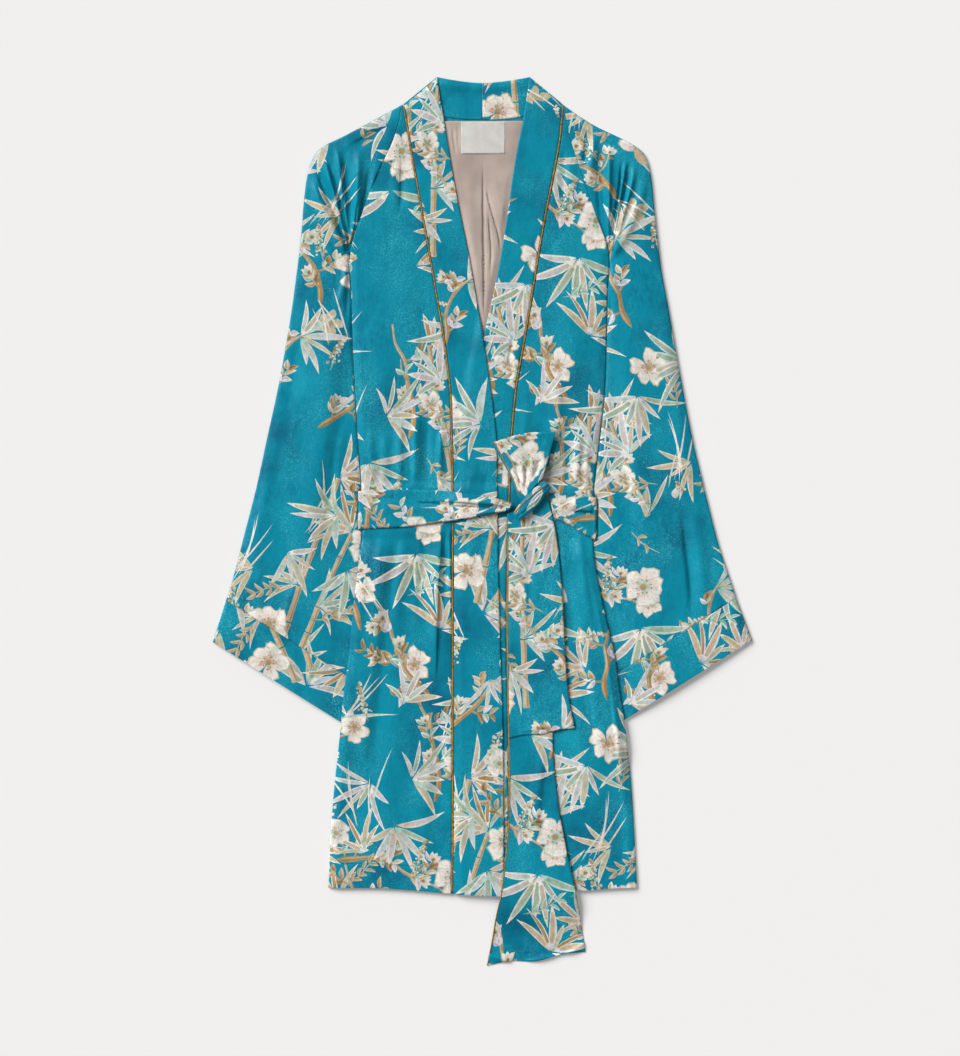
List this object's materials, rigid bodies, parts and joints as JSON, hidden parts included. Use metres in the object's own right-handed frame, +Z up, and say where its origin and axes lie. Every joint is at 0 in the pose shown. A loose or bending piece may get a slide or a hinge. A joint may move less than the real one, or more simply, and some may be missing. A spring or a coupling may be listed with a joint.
{
  "type": "kimono robe",
  "caption": "Short satin wrap robe with raglan sleeves, a wide front band and a tied sash, laid flat on its back.",
  "frame": {"origin": "centre of the bounding box, on the surface that the robe lies on", "axes": "+Y towards the neck, +X to the viewer's right as the robe is seen from above, +Z up from the surface"},
  "size_m": [0.5926, 0.9772, 0.0167],
  "materials": {
    "satin_print": "teal satin with a printed flower and leaf pattern, soft sheen",
    "gold_piping": "gold satin piping cord",
    "lining": "pinkish beige lining, matt with a faint sheen",
    "label_cloth": "blank off-white woven label"
  },
  "bodies": {
    "root": {"back_panel": "satin_print", "back_lining": "lining", "label": "label_cloth", "front_left": "satin_print", "front_right": "satin_print", "band_left": "satin_print", "band_right": "satin_print", "neck_band_left": "satin_print", "neck_band_right": "satin_print", "piping_left": "gold_piping", "piping_right": "gold_piping", "sleeve_left": "satin_print", "sleeve_right": "satin_print", "cuff_left": "satin_print", "cuff_right": "satin_print", "belt_wrap_left": "satin_print", "belt_wrap_right": "satin_print", "belt_back": "satin_print", "belt_tail_lower": "satin_print", "belt_tail_upper": "satin_print", "belt_loop": "satin_print", "belt_knot": "satin_print"}
  },
  "joints": []
}
